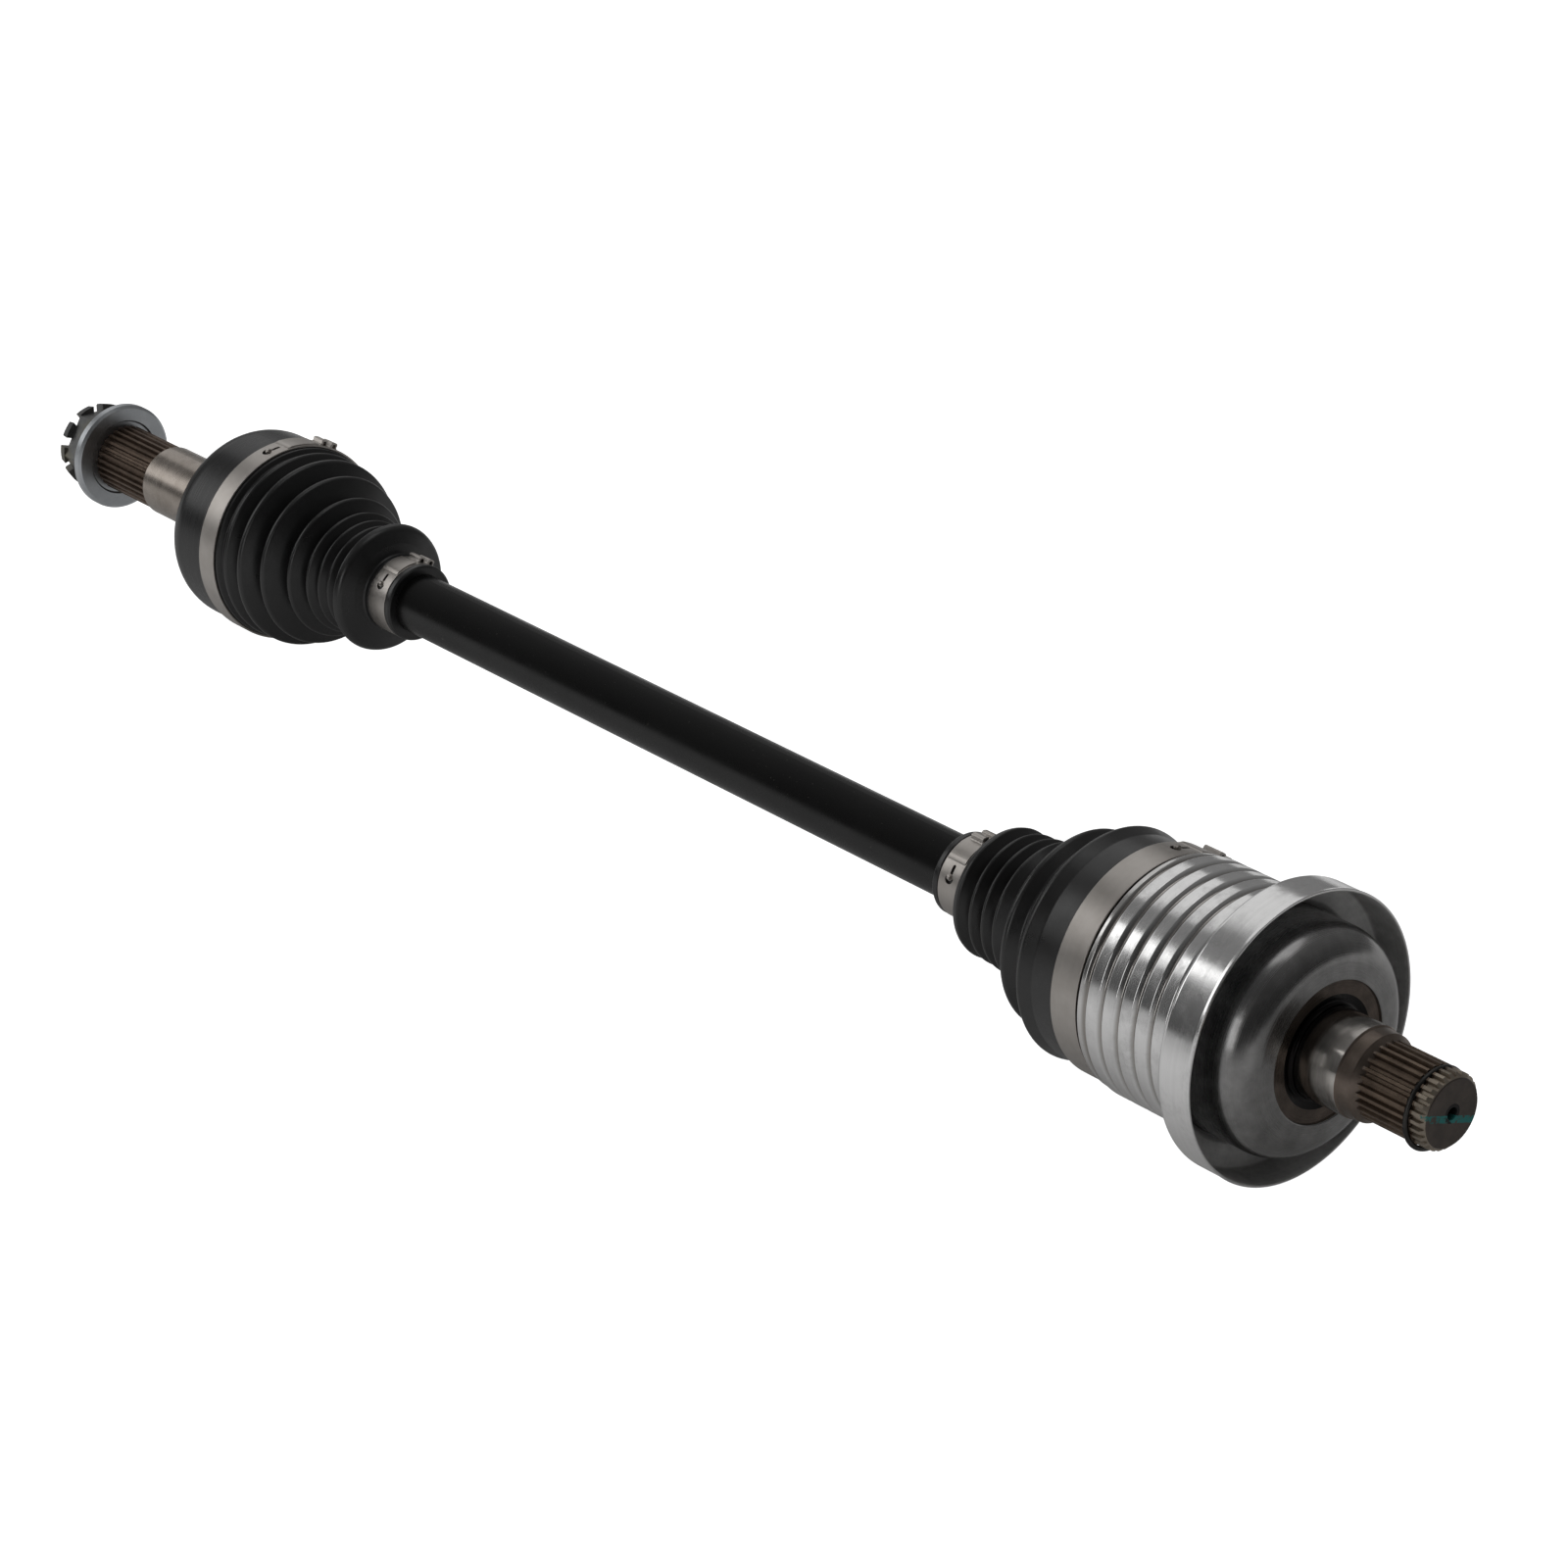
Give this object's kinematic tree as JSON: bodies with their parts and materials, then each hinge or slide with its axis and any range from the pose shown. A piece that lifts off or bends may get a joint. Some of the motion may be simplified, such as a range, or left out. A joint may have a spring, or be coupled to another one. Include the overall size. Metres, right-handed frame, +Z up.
{
  "type": "cv_axle",
  "caption": "Off-road half-shaft: black bar with a ball joint under a bellows boot at each end, castle nut at the wheel end, ribbed shield and splined stub at the gearbox end.",
  "frame": {"origin": "On the shaft axis, halfway between the nut end and the gearbox spline end.", "axes": "+X along the shaft towards the gearbox end, +Y square to the shaft and level, +Z up."},
  "size_m": [0.916, 0.123, 0.123],
  "materials": {
    "gloss_black_paint": "gloss black paint with fine dust",
    "black_bell": "satin black paint",
    "ground_steel": "turned and ground steel, oiled",
    "black_rubber": "satin moulded rubber",
    "stainless_band": "stainless strip",
    "spun_zinc": "bright spun sheet",
    "zinc_washer": "zinc plated, satin",
    "phosphate_steel": "dark phosphate",
    "spring_wire": "black spring steel",
    "hardened_steel": "ground and greased",
    "bearing_steel": "polished"
  },
  "bodies": {
    "axle_bar": {"axle_bar": "gloss_black_paint", "outer_inner_race": "hardened_steel", "outer_race_snap_ring": "spring_wire", "outer_small_clamp": "stainless_band", "inner_inner_race": "hardened_steel", "inner_race_snap_ring": "spring_wire", "inner_small_clamp": "stainless_band"},
    "outer_ball_top": {"outer_ball_1": "bearing_steel"},
    "outer_cage": {"outer_cage": "hardened_steel", "outer_ball_2": "bearing_steel", "outer_ball_3": "bearing_steel", "outer_ball_5": "bearing_steel", "outer_ball_6": "bearing_steel", "outer_boot": "black_rubber"},
    "outer_ball_bottom": {"outer_ball_4": "bearing_steel"},
    "outer_housing": {"outer_housing": "black_bell", "outer_large_clamp": "stainless_band"},
    "hub_washer": {"hub_washer": "zinc_washer"},
    "hub_nut": {"hub_nut": "phosphate_steel"},
    "inner_ball_top": {"inner_ball_1": "bearing_steel"},
    "inner_cage": {"inner_cage": "hardened_steel", "inner_ball_2": "bearing_steel", "inner_ball_3": "bearing_steel", "inner_ball_5": "bearing_steel", "inner_ball_6": "bearing_steel"},
    "inner_ball_bottom": {"inner_ball_4": "bearing_steel"},
    "inner_boot": {"inner_boot": "black_rubber"},
    "inner_housing": {"inner_housing": "ground_steel", "inner_large_clamp": "stainless_band", "inner_wire_ring": "spring_wire", "dust_shield": "spun_zinc", "stub_circlip": "spring_wire"}
  },
  "joints": [
    {"name": "outer_bend_bar_side", "type": "hinge", "parent": "axle_bar", "child": "outer_ball_top", "pos_m": [-0.297, 0, 0], "axis": [0, 1, 0], "range_deg": [-15, 15], "deforming": ["outer_boot"]},
    {"name": "outer_swing_bar_side", "type": "hinge", "parent": "outer_ball_top", "child": "outer_cage", "pos_m": [-0.297, 0, 0], "axis": [0, 0, 1], "range_deg": [-15, 15], "deforming": ["outer_boot"]},
    {"name": "outer_swing_wheel_side", "type": "hinge", "parent": "outer_cage", "child": "outer_ball_bottom", "pos_m": [-0.297, 0, 0], "axis": [0, 0, 1], "range_deg": [-15, 15], "deforming": ["outer_boot"]},
    {"name": "outer_bend_wheel_side", "type": "hinge", "parent": "outer_ball_bottom", "child": "outer_housing", "pos_m": [-0.297, 0, 0], "axis": [0, 1, 0], "range_deg": [-15, 15], "deforming": ["outer_boot"]},
    {"name": "hub_nut_travel", "type": "slide", "parent": "outer_housing", "child": "hub_washer", "axis": [-1, 0, 0], "range_m": [0, 0.024]},
    {"name": "hub_nut_spin", "type": "hinge", "parent": "hub_washer", "child": "hub_nut", "pos_m": [-0.45, 0, 0], "axis": [-1, 0, 0], "range_deg": [0, 4320]},
    {"name": "inner_bend_bar_side", "type": "hinge", "parent": "axle_bar", "child": "inner_ball_top", "pos_m": [0.328, 0, 0], "axis": [0, 1, 0], "range_deg": [-6.5, 6.5], "deforming": ["inner_boot"]},
    {"name": "inner_swing_bar_side", "type": "hinge", "parent": "inner_ball_top", "child": "inner_cage", "pos_m": [0.328, 0, 0], "axis": [0, 0, 1], "range_deg": [-6.5, 6.5], "deforming": ["inner_boot"]},
    {"name": "inner_swing_gearbox_side", "type": "hinge", "parent": "inner_cage", "child": "inner_ball_bottom", "pos_m": [0.328, 0, 0], "axis": [0, 0, 1], "range_deg": [-6.5, 6.5], "deforming": ["inner_boot"]},
    {"name": "inner_bend_gearbox_side", "type": "hinge", "parent": "inner_ball_bottom", "child": "inner_boot", "pos_m": [0.328, 0, 0], "axis": [0, 1, 0], "range_deg": [-6.5, 6.5], "deforming": ["inner_boot"]},
    {"name": "inner_plunge", "type": "slide", "parent": "inner_boot", "child": "inner_housing", "axis": [1, 0, 0], "range_m": [-0.015, 0.015], "deforming": ["inner_boot"]}
  ],
  "couplings": [
    {"joint": "outer_swing_wheel_side", "follows": "outer_swing_bar_side", "ratio": 1},
    {"joint": "outer_bend_wheel_side", "follows": "outer_bend_bar_side", "ratio": 1},
    {"joint": "inner_swing_gearbox_side", "follows": "inner_swing_bar_side", "ratio": 1},
    {"joint": "inner_bend_gearbox_side", "follows": "inner_bend_bar_side", "ratio": 1},
    {"joint": "hub_nut_travel", "follows": "hub_nut_spin", "m_per_rad": 0.00031831}
  ]
}
